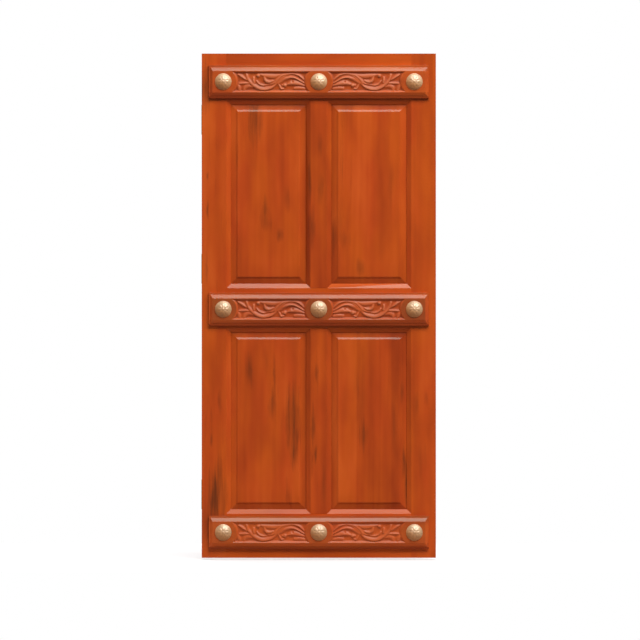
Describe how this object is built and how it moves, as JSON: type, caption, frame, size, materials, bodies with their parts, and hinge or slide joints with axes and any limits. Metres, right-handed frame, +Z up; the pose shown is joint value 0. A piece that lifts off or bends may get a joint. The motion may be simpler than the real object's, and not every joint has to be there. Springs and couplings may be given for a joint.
{
  "type": "panelled entrance door leaf",
  "caption": "Teak entrance door leaf with raised panels, carved scroll bars and brass bosses, hung on butt hinges along its left edge.",
  "frame": {"origin": "middle of the leaf's bottom edge, in the plane of its front face", "axes": "+X to the right seen from the carved front, +Y through the leaf to its back, +Z up"},
  "size_m": [0.9925, 0.0936, 2.134],
  "materials": {
    "frame_teak": "gloss varnish",
    "panel_teak": "gloss varnish",
    "carved_teak": "gloss varnish",
    "peg_teak": "gloss varnish",
    "boss_brass": "aged polish",
    "hinge_brass": "aged satin"
  },
  "bodies": {
    "hinge_base": {"top_hinge_frame_plate": "hinge_brass", "top_hinge_pin": "hinge_brass", "middle_hinge_frame_plate": "hinge_brass", "middle_hinge_pin": "hinge_brass", "bottom_hinge_frame_plate": "hinge_brass", "bottom_hinge_pin": "hinge_brass"},
    "leaf": {"hinge_stile": "frame_teak", "closing_stile": "frame_teak", "top_rail": "frame_teak", "middle_rail": "frame_teak", "bottom_rail": "frame_teak", "upper_mullion": "frame_teak", "lower_mullion": "frame_teak", "upper_left_panel": "panel_teak", "upper_right_panel": "panel_teak", "lower_left_panel": "panel_teak", "lower_right_panel": "panel_teak", "top_carved_bar": "carved_teak", "middle_carved_bar": "carved_teak", "bottom_carved_bar": "carved_teak", "top_left_boss": "boss_brass", "top_centre_boss": "boss_brass", "top_right_boss": "boss_brass", "middle_left_boss": "boss_brass", "middle_centre_boss": "boss_brass", "middle_right_boss": "boss_brass", "bottom_left_boss": "boss_brass", "bottom_centre_boss": "boss_brass", "bottom_right_boss": "boss_brass", "top_rail_pegs": "peg_teak", "middle_rail_pegs": "peg_teak", "bottom_rail_pegs": "peg_teak", "top_hinge_door_plate": "hinge_brass", "top_hinge_screws": "hinge_brass", "middle_hinge_door_plate": "hinge_brass", "middle_hinge_screws": "hinge_brass", "bottom_hinge_door_plate": "hinge_brass", "bottom_hinge_screws": "hinge_brass"}
  },
  "joints": [
    {"name": "door_swing", "type": "hinge", "parent": "hinge_base", "child": "leaf", "pos_m": [-0.491, 0.047, 0], "axis": [0, 0, 1], "range_deg": [0, 180]}
  ]
}
